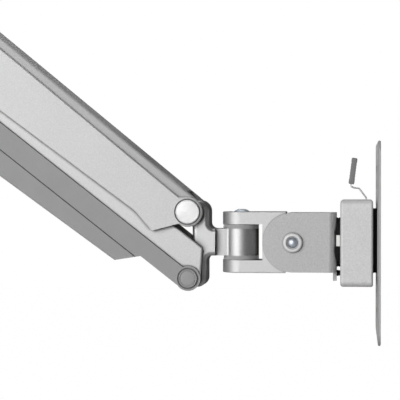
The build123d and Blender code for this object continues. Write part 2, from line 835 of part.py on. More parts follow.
with BuildPart() as counterbalance_cam:
    cam_view = side_view(rear_x, upper_pivot_rise)
    lowest = -arm_lowest - cam_margin
    highest = arm_highest + cam_margin
    step = (highest - lowest) / (cam_points - 1)
    with BuildSketch(cam_view):
        with BuildLine():
            face_line = Spline([cam_point(lowest + step * count) for count in range(cam_points)])
            Polyline(face_line @ 1, (0, 0), face_line @ 0)
        make_face()
        Circle(cam_hub_radius)
    extrude(amount=cam_half, both=True)
    bar(cam_view, pivot_radius + running, -cam_half, cam_half, Mode.SUBTRACT)
    dowel_axis = along(cam_view, -cam_dowel_back)
    bar(dowel_axis, cam_dowel_radius + seat_gap, -cam_half, cam_half, Mode.SUBTRACT)

with BuildPart() as cam_dowel:
    bar(dowel_axis, cam_dowel_radius, -cam_dowel_half, cam_dowel_half)

roller_axis = along(upper_view, roller_at_rest)
spring_line = Plane(upper_view.origin, x_dir=(0, 1, 0), z_dir=upper_view.x_dir)
fork_half = roller_half + side_gap + fork_cheek
fork_end = roller_at_rest + fork_length

with BuildPart() as cam_roller:
    bar(roller_axis, roller_radius, -roller_half, roller_half)
    bar(roller_axis, roller_pin_radius + running, -roller_half, roller_half, Mode.SUBTRACT)

with BuildPart() as roller_pin:
    bar(roller_axis, roller_pin_radius, -fork_half, fork_half)

with BuildPart() as roller_fork:
    with BuildSketch(roller_axis):
        Circle(fork_round)
        Rectangle(fork_length, 2 * fork_round, align=(Align.MIN, Align.CENTER))
    extrude(amount=fork_half, both=True)
    with BuildSketch(roller_axis):
        with Locations((fork_throat, 0)):
            Rectangle(4 * roller_radius, 4 * roller_radius, align=(Align.MAX, Align.CENTER))
    extrude(amount=roller_half + side_gap, both=True, mode=Mode.SUBTRACT)
    bar(roller_axis, roller_pin_radius + seat_gap, -fork_half, fork_half, Mode.SUBTRACT)
    bar(spring_line, rod_radius + seat_gap, fork_end - rod_seat_depth, fork_end, Mode.SUBTRACT)

rod_start = fork_end - rod_seat_depth
bore_radius = cylinder_radius - cylinder_wall

with BuildPart() as spring_rod:
    bar(spring_line, rod_radius, rod_start, rod_start + rod_length)
    bar(spring_line, bore_radius - running, rod_start + rod_length - piston_length, rod_start + rod_length)

with BuildPart() as spring_cylinder:
    bar(spring_line, cylinder_radius, cylinder_start, cylinder_end)
    chamfer(spring_cylinder.edges().filter_by(GeomType.CIRCLE), cylinder_wall / 2)
    bore_start = cylinder_start + cylinder_end_wall
    bar(spring_line, bore_radius, bore_start, cylinder_end - cylinder_end_wall, Mode.SUBTRACT)
    bar(spring_line, rod_radius + running, cylinder_start, bore_start, Mode.SUBTRACT)
    with BuildSketch(anchor_axis):
        Circle(cylinder_eye_length / 2)
        Rectangle(anchor_from_cylinder, 2 * cylinder_eye_half, align=(Align.MAX, Align.CENTER))
    extrude(amount=cylinder_eye_half, both=True)
    bar(anchor_axis, anchor_pin_radius + seat_gap, -cylinder_eye_half, cylinder_eye_half, Mode.SUBTRACT)

with BuildPart() as spring_anchor_pin:
    bar(anchor_axis, anchor_pin_radius, -channel_half, channel_half)


# Head: clevis and tilt bracket

head_swivel_axis = plan_view(head_swivel_x, head_z)
tilt_axis = side_view(tilt_x, head_z)

with BuildPart() as head_clevis:
    with BuildSketch(head_swivel_axis.offset(-ear_half_height)):
        Circle(ear_radius)
        Rectangle(swivel_to_tilt + tilt_to_base, 2 * ear_radius, align=(Align.MIN, Align.CENTER))
    extrude(amount=2 * ear_half_height)
    with BuildSketch(tilt_axis):
        Circle(clevis_nose_radius)
        with Locations((-clevis_shoulder, 0)):
            Rectangle(2 * swivel_to_tilt, 2 * ear_half_height, align=(Align.MAX, Align.CENTER))
    extrude(amount=2 * ear_radius, both=True, mode=Mode.INTERSECT)
    rims = head_clevis.faces().filter_by(Axis.Z).sort_by(Axis.Z)
    fillet(rims[0].edges() + rims[-1].edges(), clevis_edge)
    with BuildSketch(side_view(head_swivel_x, head_z)):
        with Locations((slot_reach, 0)):
            Rectangle(4 * ear_radius, 2 * slot_half_height, align=(Align.MAX, Align.CENTER))
    extrude(amount=2 * ear_radius, both=True, mode=Mode.SUBTRACT)
    bar(head_swivel_axis, swivel_bolt_radius + seat_gap, -ear_half_height, ear_half_height, Mode.SUBTRACT)
    hexagon(
        head_swivel_axis,
        swivel_nut_flats + nut_recess_room,
        -ear_half_height,
        nut_recess_depth - ear_half_height,
        Mode.SUBTRACT,
    )
    bar(tilt_axis, tilt_bolt_radius + running, -ear_radius, ear_radius, Mode.SUBTRACT)

with BuildPart() as tilt_friction_discs:
    bar(tilt_axis, friction_disc_radius, ear_radius + friction_gap, cheek_inner)
    bar(tilt_axis, tilt_bolt_radius + seat_gap, 0, cheek_inner, Mode.SUBTRACT)
    mirror(about=Plane.XZ)

with BuildPart() as tilt_bracket:
    with BuildSketch(plan_view(tilt_x, head_z - bracket_half_height)) as bracket_plan:
        with Locations((tilt_to_base + bracket_sheet, 0)):
            outer_length = tilt_to_base + bracket_sheet + bracket_half_height
            Rectangle(outer_length, 2 * cheek_outer, align=(Align.MAX, Align.CENTER))
        fillet(bracket_plan.vertices().sort_by(Axis.X)[-2:], bracket_bend)
        with BuildSketch(mode=Mode.SUBTRACT) as bracket_inside:
            with Locations((tilt_to_base, 0)):
                Rectangle(2 * outer_length, 2 * cheek_inner, align=(Align.MAX, Align.CENTER))
            fillet(bracket_inside.vertices().sort_by(Axis.X)[-2:], bracket_bend - bracket_sheet)
    extrude(amount=2 * bracket_half_height)
    with BuildSketch(tilt_axis):
        Circle(bracket_half_height)
        Rectangle(2 * tilt_to_base, 2 * bracket_half_height, align=(Align.MIN, Align.CENTER))
    extrude(amount=2 * cheek_outer, both=True, mode=Mode.INTERSECT)
    with BuildSketch(end_view(tilt_x + tilt_to_base, head_z - bracket_half_height)):
        with Locations((0, bracket_sheet)):
            Rectangle(tongue_width, tongue_drop + bracket_sheet, align=(Align.CENTER, Align.MAX))
    extrude(amount=bracket_sheet)
    bar(tilt_axis, tilt_bolt_radius + seat_gap, -cheek_outer, cheek_outer, Mode.SUBTRACT)
    bar(end_view(tilt_x, turn_z), turn_bolt_radius + seat_gap, 0, tilt_to_base + bracket_sheet, Mode.SUBTRACT)

washer_outer = cheek_outer + tilt_washer_thickness

with BuildPart() as tilt_washers:
    bar(tilt_axis, tilt_washer_radius, cheek_outer, washer_outer + tilt_cup_depth)
    fillet(tilt_washers.edges().filter_by(GeomType.CIRCLE).sort_by(Axis.Y)[0], tilt_cup_edge)
    bar(tilt_axis, tilt_cup_radius, washer_outer, washer_outer + tilt_cup_depth, Mode.SUBTRACT)
    bar(tilt_axis, tilt_bolt_radius + seat_gap, cheek_outer, washer_outer, Mode.SUBTRACT)
    mirror(about=Plane.XZ)

with BuildPart() as tilt_bolt:
    dome(tilt_axis.offset(washer_outer), tilt_head_radius, tilt_head_height)
    bar(tilt_axis, tilt_bolt_radius, -washer_outer - tilt_nut_height, washer_outer)

with BuildPart() as tilt_nut:
    hexagon(tilt_axis, tilt_nut_flats, -washer_outer - tilt_nut_height, -washer_outer)
    bar(tilt_axis, tilt_bolt_radius + seat_gap, -washer_outer - tilt_nut_height, -washer_outer, Mode.SUBTRACT)


# Head: turn joint

turn_line = end_view(0, turn_z)
pad_end_x = box_back_x - side_gap

with BuildPart() as turn_pads:
    with BuildSketch(end_view(base_outer_x, head_z)):
        Circle(turn_pad_radius)
        with Locations((0, turn_rise)):
            Rectangle(4 * turn_pad_radius, 2 * (turn_bush_radius + side_gap), mode=Mode.SUBTRACT)
    extrude(amount=pad_end_x - base_outer_x)

with BuildPart() as turn_glides:
    with BuildSketch(end_view(base_outer_x, turn_z)):
        with Locations((glide_offset, 0), (-glide_offset, 0)):
            Rectangle(glide_width, 2 * turn_bush_radius)
    extrude(amount=pad_end_x - base_outer_x)

with BuildPart() as turn_bolt:
    base_inner_x = tilt_x + tilt_to_base
    hexagon(turn_line, turn_bolt_head_flats, base_inner_x - turn_bolt_head_height, base_inner_x)
    nut_start_x = box_back_x + box_wall + friction_gap
    bar(turn_line, turn_bolt_radius, base_inner_x, nut_start_x + turn_nut_height)

with BuildPart() as turn_nut:
    hexagon(turn_line, turn_nut_flats, nut_start_x, nut_start_x + turn_nut_height)
    bar(turn_line, turn_bolt_radius + seat_gap, nut_start_x, nut_start_x + turn_nut_height, Mode.SUBTRACT)

with BuildPart() as turn_bush:
    bar(turn_line, turn_bush_radius, base_outer_x + side_gap, box_back_x + box_wall)
    bar(turn_line, turn_bolt_radius + running, base_outer_x, box_back_x + box_wall, Mode.SUBTRACT)

with BuildPart() as turn_bumper:
    bar(end_view(base_outer_x, head_z - bumper_drop), bumper_radius, 0, pad_end_x - base_outer_x)


# Head: box, pad and screen plate

post_span = 2 * (box_half - post_inset)
box_inner_half = box_half - box_wall

with BuildPart() as head_box:
    with BuildSketch(end_view(box_back_x, head_z)):
        Rectangle(2 * box_half, 2 * box_half)
    extrude(amount=box_depth)
    fillet(head_box.edges().filter_by(Axis.X), box_long_round)
    fillet(head_box.faces().sort_by(Axis.X)[0].edges(), box_back_round)
    fillet(head_box.faces().sort_by(Axis.X)[-1].edges(), box_front_round)
    with BuildSketch(end_view(box_back_x + box_wall, head_z)):
        RectangleRounded(2 * box_inner_half, 2 * box_inner_half, box_long_round - box_wall)
    extrude(amount=box_depth, mode=Mode.SUBTRACT)
    with BuildSketch(end_view(box_back_x + box_wall, head_z)):
        with GridLocations(post_span, post_span, 2, 2):
            Circle(post_radius)
            Circle(post_screw_radius + seat_gap, mode=Mode.SUBTRACT)
    extrude(amount=front_plate_back_x - box_back_x - box_wall)
    bar(turn_line, turn_bush_radius + seat_gap, box_back_x, box_back_x + box_wall, Mode.SUBTRACT)
    wire_up = plan_view(latch_x, head_z)
    bar(wire_up, wire_radius + side_gap, box_inner_half, box_half, Mode.SUBTRACT)

stud_places = [(0, turn_rise + side * stud_offset) for side in (1, -1)]
latch_room = latch_thickness / 2 + latch_play

with BuildPart() as box_front_plate:
    with BuildSketch(end_view(front_plate_back_x, head_z)):
        plate_side = 2 * (box_inner_half - seat_gap)
        RectangleRounded(plate_side, plate_side, box_long_round - box_wall)
        with Locations(*stud_places):
            Circle(stud_radius + running, mode=Mode.SUBTRACT)
        with GridLocations(post_span, post_span, 2, 2):
            Circle(post_screw_radius + seat_gap, mode=Mode.SUBTRACT)
    extrude(amount=front_plate_thickness)
    with BuildSketch(end_view(box_front_x, head_z)):
        with GridLocations(post_span, post_span, 2, 2):
            Circle(post_screw_head_radius + seat_gap)
    extrude(amount=-post_screw_head_height, mode=Mode.SUBTRACT)
    with BuildSketch(end_view(front_plate_back_x, head_z)):
        with Locations((0, turn_rise)):
            rail_offset = latch_half_width + latch_play + rail_width / 2
            with Locations((rail_offset, 0), (-rail_offset, 0)):
                Rectangle(rail_width, 2 * (stud_offset + latch_rim))
    extrude(amount=latch_x - latch_room - front_plate_back_x)

with BuildPart() as front_plate_screws:
    with BuildSketch(end_view(box_front_x, head_z)):
        with GridLocations(post_span, post_span, 2, 2):
            Circle(post_screw_head_radius)
    extrude(amount=-post_screw_head_height)
    with BuildSketch(end_view(box_front_x - post_screw_head_height, head_z)):
        with GridLocations(post_span, post_span, 2, 2):
            Circle(post_screw_radius)
    extrude(amount=-post_screw_length)

with BuildPart() as plate_pad:
    with BuildSketch(end_view(box_front_x, head_z)):
        with Locations((0, turn_rise)):
            RectangleRounded(pad_size, pad_size, pad_corner)
        with Locations(*stud_places):
            Circle(stud_radius + running, mode=Mode.SUBTRACT)
    extrude(amount=pad_thickness)

with BuildPart() as screen_plate:
    with BuildSketch(end_view(plate_back_x, turn_z)):
        RectangleRounded(plate_size, plate_size, plate_corner)
        for span, radius in ((large_hole_span, large_hole_radius), (small_hole_span, small_hole_radius)):
            with GridLocations(span, span, 2, 2):
                Circle(radius, mode=Mode.SUBTRACT)
        with PolarLocations(window_offset, 4):
            RectangleRounded(window_width, window_length, window_corner, mode=Mode.SUBTRACT)
        with Locations((0, stud_offset), (0, -stud_offset)):
            Circle(stud_neck_radius + seat_gap, mode=Mode.SUBTRACT)
    extrude(amount=plate_thickness)
    for face in (screen_plate.faces().sort_by(Axis.X)[0], screen_plate.faces().sort_by(Axis.X)[-1]):
        chamfer(face.outer_wire().edges(), plate_edge)

with BuildPart() as plate_studs:
    neck_start_x = latch_x - latch_room
    neck_end_x = latch_x + latch_room
    for across, up in stud_places:
        stud = end_view(0, head_z + up)
        bar(stud, stud_head_radius, neck_start_x - stud_head_thickness, neck_start_x)
        bar(stud, stud_neck_radius, neck_start_x, plate_front_x)
        bar(stud, stud_radius, neck_end_x, plate_back_x)


# Latch: the slide's keyholes grip the necks of the studs until the tab is pulled up

slide_top = turn_rise + stud_offset + stud_neck_radius + latch_rim
slide_bottom = turn_rise - stud_offset - latch_travel - stud_head_radius - latch_rim

with BuildPart() as latch_slide:
    with BuildSketch(end_view(latch_x - latch_thickness / 2, head_z)):
        with Locations((0, slide_top)):
            Rectangle(2 * latch_half_width, slide_top - slide_bottom, align=(Align.CENTER, Align.MAX))
        neck_room = stud_neck_radius + latch_play
        with Locations(*stud_places):
            Circle(neck_room, mode=Mode.SUBTRACT)
            Rectangle(2 * neck_room, latch_travel, align=(Align.CENTER, Align.MAX), mode=Mode.SUBTRACT)
        with Locations(*[(across, up - latch_travel) for across, up in stud_places]):
            Circle(stud_head_radius + latch_play, mode=Mode.SUBTRACT)
    extrude(amount=latch_thickness)

with BuildPart() as latch_spring:
    spring_axis = plan_view(latch_x, head_z)
    bar(spring_axis, spring_outer_radius, slide_top, box_inner_half)
    bar(spring_axis, spring_inner_radius, slide_top, box_inner_half, Mode.SUBTRACT)

tab_rise = Vector(sin(radians(tab_lean)), cos(radians(tab_lean)))
tab_view = Plane(
    origin=(latch_x + tab_foot[0], 0, head_z + tab_foot[1]),
    x_dir=(tab_rise.Y, 0, -tab_rise.X),
    z_dir=(0, -1, 0),
)

with BuildPart() as release_wire:
    with BuildLine(side_view(latch_x, head_z)) as wire_route:
        foot = Vector(*tab_foot)
        lead_start = foot - tab_rise * wire_lead
        wire_end = foot + tab_rise * wire_in_tab
        FilletPolyline(
            (0, slide_top),
            (0, box_half + wire_top_room),
            wire_kink_one,
            wire_kink_two,
            (lead_start.X, lead_start.Y),
            (wire_end.X, wire_end.Y),
            radius=wire_bend,
        )
    with BuildSketch(plan_view(latch_x, head_z + slide_top)):
        Circle(wire_radius)
    sweep()

with BuildPart() as release_tab:
    with BuildSketch(tab_view):
        with Locations((0, tab_length / 2)):
            Rectangle(tab_depth, tab_length)
    extrude(amount=tab_half_width, both=True)
    fillet(release_tab.edges(), tab_round)
    bore_axis = Plane(tab_view.origin, x_dir=(0, 1, 0), z_dir=(tab_rise.X, 0, tab_rise.Y))
    bar(bore_axis, wire_radius + seat_gap, -tab_round, wire_in_tab, Mode.SUBTRACT)


pieces = {
    "wall_plate": wall_plate,
    "wall_clevis": wall_clevis,
    "wall_clevis_screws": wall_clevis_screws,
    "wall_swivel_bolt": wall_swivel_bolt,
    "wall_swivel_nut": wall_swivel_nut,
    "wall_swivel_bushes": wall_swivel_bushes,
    "rear_knuckle": rear_knuckle,
    "rear_pivot_bushes": rear_pivot_bushes,
    "counterbalance_cam": counterbalance_cam,
    "cam_dowel": cam_dowel,
    "upper_arm_channel": upper_arm_channel,
    "upper_cover_near": upper_cover_near,
    "upper_cover_far": upper_cover_far,
    "rear_upper_pin": rear_upper_pin,
    "front_upper_pin": front_upper_pin,
    "rear_upper_caps": rear_upper_caps,
    "front_upper_caps": front_upper_caps,
    "spring_cylinder": spring_cylinder,
    "spring_anchor_pin": spring_anchor_pin,
    "spring_rod": spring_rod,
    "roller_fork": roller_fork,
    "roller_pin": roller_pin,
    "cam_roller": cam_roller,
    "lower_link": lower_link,
    "cable_cover": cable_cover,
    "rear_lower_pin": rear_lower_pin,
    "front_lower_pin": front_lower_pin,
    "rear_lower_caps": rear_lower_caps,
    "front_lower_caps": front_lower_caps,
    "front_knuckle": front_knuckle,
    "front_pivot_bushes": front_pivot_bushes,
    "head_swivel_bushes": head_swivel_bushes,
    "head_clevis": head_clevis,
    "head_swivel_bolt": head_swivel_bolt,
    "head_swivel_nut": head_swivel_nut,
    "tilt_bracket": tilt_bracket,
    "tilt_friction_discs": tilt_friction_discs,
    "tilt_washers": tilt_washers,
    "tilt_bolt": tilt_bolt,
    "tilt_nut": tilt_nut,
    "turn_pads": turn_pads,
    "turn_glides": turn_glides,
    "turn_bolt": turn_bolt,
    "turn_nut": turn_nut,
    "turn_bumper": turn_bumper,
    "turn_bush": turn_bush,
    "head_box": head_box,
    "box_front_plate": box_front_plate,
    "front_plate_screws": front_plate_screws,
    "plate_pad": plate_pad,
    "screen_plate": screen_plate,
    "plate_studs": plate_studs,
    "latch_spring": latch_spring,
    "latch_slide": latch_slide,
    "release_wire": release_wire,
    "release_tab": release_tab,
}

os.makedirs("parts", exist_ok=True)
for name, piece in pieces.items():
    piece.part.label = name
    export_step(piece.part, f"parts/{name}.step")
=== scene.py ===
import json
from math import asin, cos, pi, radians, sin, sqrt, tau

import bmesh
import bpy
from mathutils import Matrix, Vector


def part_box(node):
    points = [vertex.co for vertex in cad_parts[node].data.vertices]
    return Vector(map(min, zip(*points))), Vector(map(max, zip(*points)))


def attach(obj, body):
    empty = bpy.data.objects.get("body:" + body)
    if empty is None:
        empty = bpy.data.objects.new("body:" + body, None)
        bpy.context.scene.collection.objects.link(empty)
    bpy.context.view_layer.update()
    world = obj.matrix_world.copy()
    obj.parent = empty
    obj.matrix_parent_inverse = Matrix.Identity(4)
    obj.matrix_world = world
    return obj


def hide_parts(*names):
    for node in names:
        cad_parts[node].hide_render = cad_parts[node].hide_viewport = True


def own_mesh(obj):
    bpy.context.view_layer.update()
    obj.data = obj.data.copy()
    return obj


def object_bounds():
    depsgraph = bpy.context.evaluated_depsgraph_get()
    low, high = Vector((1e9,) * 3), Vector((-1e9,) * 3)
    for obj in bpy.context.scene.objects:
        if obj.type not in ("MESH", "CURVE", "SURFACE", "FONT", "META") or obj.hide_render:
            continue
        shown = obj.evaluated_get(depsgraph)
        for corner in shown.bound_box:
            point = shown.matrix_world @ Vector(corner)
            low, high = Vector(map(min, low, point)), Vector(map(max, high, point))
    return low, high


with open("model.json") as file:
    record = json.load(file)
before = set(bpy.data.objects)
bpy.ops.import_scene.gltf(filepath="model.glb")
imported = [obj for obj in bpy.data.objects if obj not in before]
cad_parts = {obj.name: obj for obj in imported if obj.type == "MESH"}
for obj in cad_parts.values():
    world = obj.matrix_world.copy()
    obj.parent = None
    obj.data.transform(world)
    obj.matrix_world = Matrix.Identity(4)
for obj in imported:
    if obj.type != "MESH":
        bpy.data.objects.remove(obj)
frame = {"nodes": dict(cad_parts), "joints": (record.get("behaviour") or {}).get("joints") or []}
cad_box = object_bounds()
nodes = frame["nodes"]
pivot = {joint["name"]: Vector(joint["pos_m"]) for joint in frame["joints"] if "pos_m" in joint}
MM = 0.001


# Shader maths

class Shade:
    """A socket of a node tree. Python's operators on it add Math nodes."""

    def __init__(self, tree, socket=None):
        self.tree = tree
        self.socket = socket

    def node(self, kind, settings=None, sockets=None, output=0):
        """Add a node with its settings and the values or links of its sockets. Gives one of its outputs."""
        made = self.tree.nodes.new(kind)
        for name, value in (settings or {}).items():
            setattr(made, name, value)
        for name, value in (sockets or {}).items():
            if isinstance(value, Shade):
                self.tree.links.new(value.socket, made.inputs[name])
            else:
                made.inputs[name].default_value = value
        return None if output is None else Shade(self.tree, made.outputs[output])

    def math(self, operation, first, second):
        return self.node("ShaderNodeMath", {"operation": operation}, {0: first, 1: second})

    def __add__(self, other):
        return self.math("ADD", self, other)

    __radd__ = __add__

    def __sub__(self, other):
        return self.math("SUBTRACT", self, other)

    def __mul__(self, other):
        return self.math("MULTIPLY", self, other)


def grey(level):
    return (level, level, level, 1.0)


def new_material(name):
    """An empty material, and the shade to build it from."""
    material = bpy.data.materials.new(name)
    material.use_nodes = True
    material.node_tree.nodes.clear()
    return material, Shade(material.node_tree)


def place_of(shade):
    """Where a point lies on its piece, in metres."""
    return shade.node("ShaderNodeTexCoord", output="Object")


def noise(shade, place, size, detail=2.0, rough=0.5):
    """Soft random field whose blotches are about that size, in metres, from 0 to 1."""
    sockets = {"Vector": place, "Scale": 1 / size, "Detail": detail, "Roughness": rough}
    return shade.node("ShaderNodeTexNoise", {}, sockets, "Fac")


def blend(shade, factor, low, high):
    """Colour between two colours."""
    return shade.node("ShaderNodeMix", {"data_type": "RGBA"}, {0: factor, 6: low, 7: high}, 2)


def crevice_shade(shade, reach, closed, clear):
    """1 on an open surface, down to 0 in gaps and along the foot of a step: the mask of the painted shade in seams.
    """
    sky_samples = 12
    # Painted shade: ambient occlusion marks where the colour darkens in gaps and at the foot of steps.
    sky = shade.node("ShaderNodeAmbientOcclusion", {"samples": sky_samples}, {"Distance": reach}, "AO")
    sockets = {"Value": sky, "From Min": closed, "From Max": clear}
    return shade.node("ShaderNodeMapRange", {}, sockets, "Result")


def surface(shade, **sockets):
    """The finished surface, from the named sockets of a Principled shader."""
    named = {name.replace("_", " ").title().replace("Ior", "IOR"): value for name, value in sockets.items()}
    shader = shade.node("ShaderNodeBsdfPrincipled", {}, named, "BSDF")
    shade.node("ShaderNodeOutputMaterial", {}, {"Surface": shader}, None)


def bump(shade, height, depth, strength):
    """Normal of a surface with fine relief of that depth."""
    sockets = {"Height": height, "Distance": depth, "Strength": strength}
    return shade.node("ShaderNodeBump", {}, sockets, "Normal")


# Finishes

# How far the painted shade reaches from a seam, and how closed and how clear the sky is at its two ends.
fine_seam = (3.4 * MM, 0.42, 0.86)
mould_seam = (2.0 * MM, 0.42, 0.86)
link_seam = (8.0 * MM, 0.5, 0.8)
casting_seam = (9.0 * MM, 0.6, 0.98)


def silver_paint(name, level, roughness, metallic, grain=0.4, seam_shade=0.16, seam=fine_seam):
    """Metallic paint: flakes that differ in lightness, a slow unevenness of the coat, and painted shade darkening
    the seams.
    """
    flake_size, coat_size, skin_size = 1.6 * MM, 45 * MM, 0.5 * MM
    coat_share = 0.06
    darkest, lightest = 0.55, 1.45
    material, shade = new_material(name)
    place = place_of(shade)
    flakes = noise(shade, place, flake_size, 3.0, 0.65)
    coat = noise(shade, place, coat_size)
    light = flakes * grain + coat * coat_share + (0.5 - (grain + coat_share) / 2)
    paint = blend(shade, light, grey(level * darkest), grey(min(level * lightest, 1.0)))
    surface(
        shade,
        # Painted shade: in gaps and at the foot of steps the colour darkens to a share of the paint's level.
        base_color=blend(shade, crevice_shade(shade, *seam), grey(level * seam_shade), paint),
        metallic=metallic,
        roughness=roughness + (flakes - 0.5) * 0.2,
        specular_ior_level=0.1,
        specular_tint=grey(0.0),
        normal=bump(shade, noise(shade, place, skin_size), 0.02 * MM, 0.5),
    )
    return material


def moulded(name, level, roughness=0.6, colour=(1.0, 1.0, 1.0)):
    """Moulded plastic or rubber with the fine texture of its mould, and painted shade darkening its seams."""
    skin_size, cloud_size = 0.6 * MM, 30 * MM
    shares = (0.75, 1.25, 0.35)
    material, shade = new_material(name)
    place = place_of(shade)
    skin = noise(shade, place, skin_size, 3.0, 0.6)
    cloud = noise(shade, place, cloud_size)
    # The third share is the colour of the painted shade in the seams.
    low, high, seam_shade = [(*[part * level * share for part in colour], 1.0) for share in shares]
    clean = blend(shade, skin * 0.3 + cloud * 0.2 + 0.25, low, high)
    surface(
        shade,
        # Painted shade in gaps and at the foot of steps.
        base_color=blend(shade, crevice_shade(shade, *mould_seam), seam_shade, clean),
        roughness=roughness + (skin - 0.5) * 0.15,
        specular_ior_level=0.15,
        normal=bump(shade, skin, 0.03 * MM, 0.6),
    )
    return material


def bright_metal(name, colour, roughness):
    """Plated or ground steel with fine random marks."""
    mark_size, cloud_size = 0.4 * MM, 6 * MM
    material, shade = new_material(name)
    place = place_of(shade)
    marks = noise(shade, place, mark_size, 4.0, 0.7)
    cloud = noise(shade, place, cloud_size)
    dark = (*[part * 0.8 for part in colour], 1.0)
    light = (*[min(part * 1.1, 1.0) for part in colour], 1.0)
    surface(
        shade,
        base_color=blend(shade, marks * 0.6 + cloud * 0.4, dark, light),
        metallic=1.0,
        roughness=roughness + (marks - 0.5) * 0.2,
        normal=bump(shade, marks, 0.01 * MM, 0.4),
    )
    return material


def spun_aluminium(name, centre):
    """Bright aluminium with the rings that its turning left, about an axis across the mount."""
    ring_pitch, uneven_size = 0.28 * MM, 3 * MM
    material, shade = new_material(name)
    place = place_of(shade)
    from_axis = shade.node(
        "ShaderNodeVectorMath", {"operation": "SUBTRACT"}, {0: place, 1: tuple(centre)}, "Vector"
    )
    flat = shade.node(
        "ShaderNodeVectorMath", {"operation": "MULTIPLY"}, {0: from_axis, 1: (1.0, 0.0, 1.0)}, "Vector"
    )
    radius = shade.node("ShaderNodeVectorMath", {"operation": "LENGTH"}, {0: flat}, "Value")
    rings = shade.math("SINE", radius * (tau / ring_pitch), 0.0)
    uneven = noise(shade, place, uneven_size)
    surface(
        shade,
        base_color=blend(shade, uneven, grey(0.56), grey(0.62)),
        metallic=0.85,
        roughness=0.45 + (uneven - 0.5) * 0.1,
        normal=bump(shade, rings, 0.015 * MM, 0.8),
    )
    return material


# The shade share of each paint sets how dark its painted shade in the seams is.
cover_silver = silver_paint("cover_silver", level=0.64, roughness=0.68, metallic=0.6, grain=0.5, seam_shade=0.4)
channel_silver = silver_paint("channel_silver", level=0.46, roughness=0.65, metallic=0.5, seam_shade=0.75)
link_silver = silver_paint(
    "link_silver", level=0.62, roughness=0.65, metallic=0.65, grain=0.5, seam_shade=0.08, seam=link_seam
)
casting_silver = silver_paint(
    "casting_silver", level=0.44, roughness=0.48, metallic=0.95, seam_shade=0.25, seam=casting_seam
)
clevis_silver = silver_paint("clevis_silver", level=0.55, roughness=0.58, metallic=0.9)
bracket_silver = silver_paint("bracket_silver", level=0.47, roughness=0.62, metallic=0.78, grain=0.8, seam_shade=0.45)
box_silver = silver_paint("box_silver", level=0.68, roughness=0.7, metallic=0.75, grain=0.6)
plate_grey = silver_paint("plate_grey", level=0.46, roughness=0.66, metallic=0.7)
collar_silver = silver_paint("collar_silver", level=0.76, roughness=0.65, metallic=0.4, grain=0.2, seam_shade=0.55)
cable_grey = moulded("cable_grey", level=0.345)
tab_grey = moulded("tab_grey", level=0.21)
bush_polymer = moulded("bush_polymer", level=0.36, roughness=0.45)
turn_bush_polymer = moulded("turn_bush_polymer", level=0.75, roughness=0.45, colour=(1.0, 1.0, 0.97))
black_rubber = moulded("black_rubber", level=0.012, roughness=0.75)
friction_fibre = moulded("friction_fibre", level=0.09, roughness=0.8)
cylinder_black = moulded("cylinder_black", level=0.02, roughness=0.35)
rod_chrome = bright_metal("rod_chrome", (0.75, 0.75, 0.76), roughness=0.08)
dome_chrome = bright_metal("dome_chrome", (0.62, 0.66, 0.72), roughness=0.5)
spring_wire = bright_metal("spring_wire", (0.62, 0.62, 0.63), roughness=0.4)
ground_steel = bright_metal("ground_steel", (0.55, 0.55, 0.56), roughness=0.3)
zinc_steel = bright_metal("zinc_steel", (0.52, 0.54, 0.57), roughness=0.25)


def dress(names, material):
    """Give CAD nodes a finish."""
    for name in names:
        slots = nodes[name].data.materials
        slots.clear()
        slots.append(material)


dress(["upper_cover_near", "upper_cover_far"], cover_silver)
dress(["upper_arm_channel", "wall_plate"], channel_silver)
dress(["lower_link"], link_silver)
dress(["rear_knuckle", "front_knuckle"], casting_silver)
dress(["wall_clevis", "head_clevis"], clevis_silver)
dress(["tilt_bracket"], bracket_silver)
dress(["head_box"], box_silver)
dress(["screen_plate", "box_front_plate"], plate_grey)
dress(["tilt_washers"], collar_silver)
dress(["cable_cover"], cable_grey)
dress(["wall_swivel_bushes", "rear_pivot_bushes", "front_pivot_bushes", "head_swivel_bushes"], bush_polymer)
dress(["turn_bush", "turn_glides"], turn_bush_polymer)
dress(["tilt_friction_discs"], friction_fibre)
dress(["spring_cylinder"], cylinder_black)
dress(["spring_rod"], rod_chrome)
dress(["release_wire"], spring_wire)
dress(["rear_upper_pin", "front_upper_pin", "rear_lower_pin", "front_lower_pin"], ground_steel)
dress(["cam_dowel", "roller_pin", "cam_roller", "counterbalance_cam", "spring_anchor_pin"], ground_steel)
dress(["wall_clevis_screws", "wall_swivel_nut", "head_swivel_nut", "tilt_nut", "turn_bolt", "turn_nut"], zinc_steel)
dress(["plate_studs", "latch_slide", "roller_fork"], zinc_steel)


# Pieces

def hexagon(flats):
    """How far the side of a hexagonal socket is from its middle, by angle."""
    def reach(angle):
        turn = angle % (tau / 6) - tau / 12
        return flats / 2 / cos(turn)
    return reach


def turned(mesh, outline, base, way, steps=72):
    """Add a piece of a lathe to the mesh: (radius, height) points in millimetres, spun about way from base."""
    way = Vector(way)
    first = way.orthogonal().normalized()
    second = way.cross(first)
    rings = []
    for radius, height in outline:
        middle = base + way * height * MM
        ring = [middle]
        if radius:
            angles = [tau * step / steps for step in range(steps)]
            reaches = [(radius(angle) if callable(radius) else radius) * MM for angle in angles]
            ring = [
                middle + (first * cos(angle) + second * sin(angle)) * reach
                for angle, reach in zip(angles, reaches)
            ]
        rings.append([mesh.verts.new(corner) for corner in ring])
    for low, high in zip(rings, rings[1:]):
        for step in range(steps):
            after = (step + 1) % steps
            around = ((low, step), (low, after), (high, after), (high, step))
            corners = [ring[place % len(ring)] for ring, place in around]
            mesh.faces.new(dict.fromkeys(corners))


